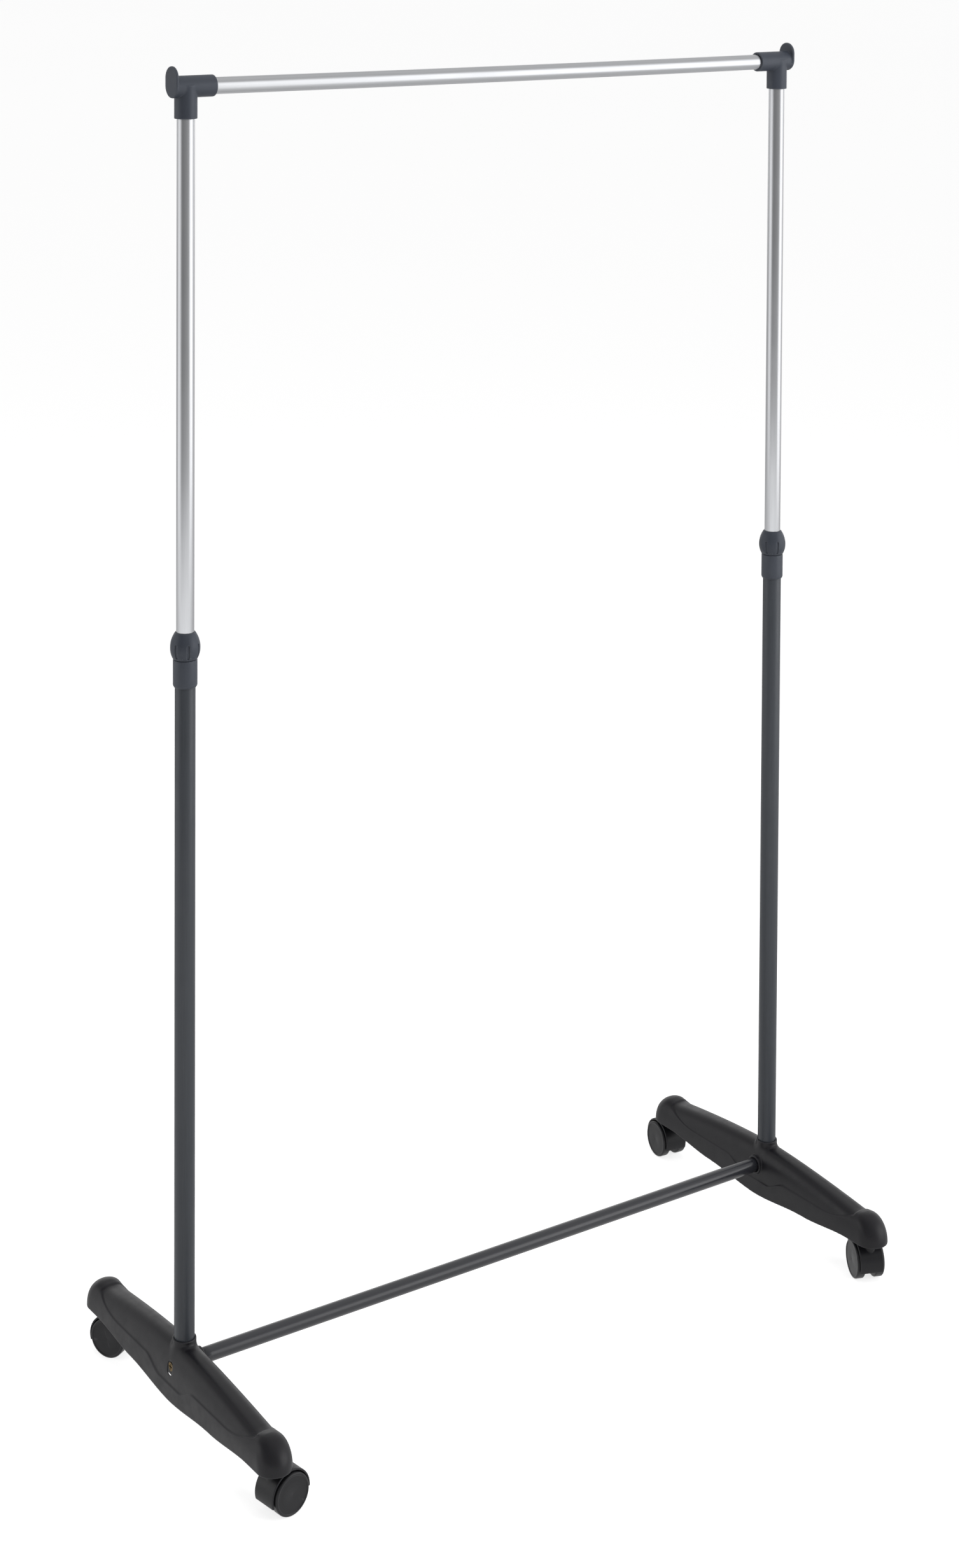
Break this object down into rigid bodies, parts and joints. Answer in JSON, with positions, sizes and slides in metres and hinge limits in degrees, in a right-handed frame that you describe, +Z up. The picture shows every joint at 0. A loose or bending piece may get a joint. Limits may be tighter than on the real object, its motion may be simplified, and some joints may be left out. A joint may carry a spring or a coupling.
{
  "type": "garment rail",
  "caption": "Height-adjustable clothes rail: two telescoping uprights with twist collars on arched plastic legs with twin-wheel swivel castors, joined by a crossbar and a hanging rail.",
  "frame": {"origin": "centre of the footprint, on the floor: midway between the two uprights, at the height where the wheels touch the ground", "axes": "+X along the hanging rail, +Y across it along the base legs, +Z up"},
  "size_m": [0.9937, 0.5013, 1.6793],
  "materials": {
    "leg_plastic": "fine satin moulding grain",
    "fitting_plastic": "slate grey satin moulding",
    "castor_plastic": "satin black",
    "wheel_plastic": "satin black with worn tread",
    "inner_plastic": "plain black",
    "tube_dark": "satin dark grey paint",
    "crossbar_paint": "semi-gloss dark grey paint",
    "tube_silver": "satin silver, faint drawing lines",
    "zinc": "zinc plated",
    "screw_brass": "yellow passivated"
  },
  "bodies": {
    "frame": {"base_left": "leg_plastic", "base_right": "leg_plastic", "crossbar": "crossbar_paint", "crossbar_insert_left": "zinc", "crossbar_insert_right": "zinc", "hub_screw_left": "screw_brass", "hub_screw_right": "screw_brass", "lower_tube_left": "tube_dark", "lower_tube_right": "tube_dark", "clamp_sleeve_left": "fitting_plastic", "clamp_sleeve_right": "fitting_plastic", "grip_bush_left": "inner_plastic", "grip_bush_right": "inner_plastic", "stem_front_left": "zinc", "stem_back_left": "zinc", "stem_front_right": "zinc", "stem_back_right": "zinc", "stem_rings": "zinc"},
    "top_frame": {"upper_tube_left": "tube_silver", "upper_tube_right": "tube_silver", "guide_plug_left": "inner_plastic", "guide_plug_right": "inner_plastic", "tee_left": "fitting_plastic", "tee_right": "fitting_plastic", "top_rail": "tube_silver"},
    "collar_left": {"twist_collar_left": "fitting_plastic"},
    "collar_right": {"twist_collar_right": "fitting_plastic"},
    "castor_front_left": {"castor_housing_front_left": "castor_plastic", "axle_front_left": "zinc"},
    "roller_front_left_a": {"wheel_front_left_a": "wheel_plastic"},
    "roller_front_left_b": {"wheel_front_left_b": "wheel_plastic"},
    "castor_back_left": {"castor_housing_back_left": "castor_plastic", "axle_back_left": "zinc"},
    "roller_back_left_a": {"wheel_back_left_a": "wheel_plastic"},
    "roller_back_left_b": {"wheel_back_left_b": "wheel_plastic"},
    "castor_front_right": {"castor_housing_front_right": "castor_plastic", "axle_front_right": "zinc"},
    "roller_front_right_a": {"wheel_front_right_a": "wheel_plastic"},
    "roller_front_right_b": {"wheel_front_right_b": "wheel_plastic"},
    "castor_back_right": {"castor_housing_back_right": "castor_plastic", "axle_back_right": "zinc"},
    "roller_back_right_a": {"wheel_back_right_a": "wheel_plastic"},
    "roller_back_right_b": {"wheel_back_right_b": "wheel_plastic"}
  },
  "joints": [
    {"name": "height_slide", "type": "slide", "parent": "frame", "child": "top_frame", "axis": [0, 0, 1], "range_m": [-0.62, 0.06]},
    {"name": "collar_twist_left", "type": "hinge", "parent": "frame", "child": "collar_left", "pos_m": [-0.469, 0, 0.9724], "axis": [0, 0, 1], "range_deg": [0, 120]},
    {"name": "collar_twist_right", "type": "hinge", "parent": "frame", "child": "collar_right", "pos_m": [0.469, 0, 0.9724], "axis": [0, 0, 1], "range_deg": [0, 120]},
    {"name": "swivel_front_left", "type": "hinge", "parent": "frame", "child": "castor_front_left", "pos_m": [-0.469, -0.215, 0.045], "axis": [0, 0, 1], "continuous": true},
    {"name": "roll_front_left_a", "type": "hinge", "parent": "castor_front_left", "child": "roller_front_left_a", "pos_m": [-0.45369, -0.21257, 0.025], "axis": [-0.1564, 0.9877, 0], "continuous": true},
    {"name": "roll_front_left_b", "type": "hinge", "parent": "castor_front_left", "child": "roller_front_left_b", "pos_m": [-0.45369, -0.21257, 0.025], "axis": [-0.1564, 0.9877, 0], "continuous": true},
    {"name": "swivel_back_left", "type": "hinge", "parent": "frame", "child": "castor_back_left", "pos_m": [-0.469, 0.215, 0.045], "axis": [0, 0, 1], "continuous": true},
    {"name": "roll_back_left_a", "type": "hinge", "parent": "castor_back_left", "child": "roller_back_left_a", "pos_m": [-0.46148, 0.20144, 0.025], "axis": [0.8746, 0.4848, 0], "continuous": true},
    {"name": "roll_back_left_b", "type": "hinge", "parent": "castor_back_left", "child": "roller_back_left_b", "pos_m": [-0.46148, 0.20144, 0.025], "axis": [0.8746, 0.4848, 0], "continuous": true},
    {"name": "swivel_front_right", "type": "hinge", "parent": "frame", "child": "castor_front_right", "pos_m": [0.469, -0.215, 0.045], "axis": [0, 0, 1], "continuous": true},
    {"name": "roll_front_right_a", "type": "hinge", "parent": "castor_front_right", "child": "roller_front_right_a", "pos_m": [0.47481, -0.20063, 0.025], "axis": [-0.9272, 0.3746, 0], "continuous": true},
    {"name": "roll_front_right_b", "type": "hinge", "parent": "castor_front_right", "child": "roller_front_right_b", "pos_m": [0.47481, -0.20063, 0.025], "axis": [-0.9272, 0.3746, 0], "continuous": true},
    {"name": "swivel_back_right", "type": "hinge", "parent": "frame", "child": "castor_back_right", "pos_m": [0.469, 0.215, 0.045], "axis": [0, 0, 1], "continuous": true},
    {"name": "roll_back_right_a", "type": "hinge", "parent": "castor_back_right", "child": "roller_back_right_a", "pos_m": [0.47089, 0.23038, 0.025], "axis": [-0.9925, 0.1219, 0], "continuous": true},
    {"name": "roll_back_right_b", "type": "hinge", "parent": "castor_back_right", "child": "roller_back_right_b", "pos_m": [0.47089, 0.23038, 0.025], "axis": [-0.9925, 0.1219, 0], "continuous": true}
  ]
}
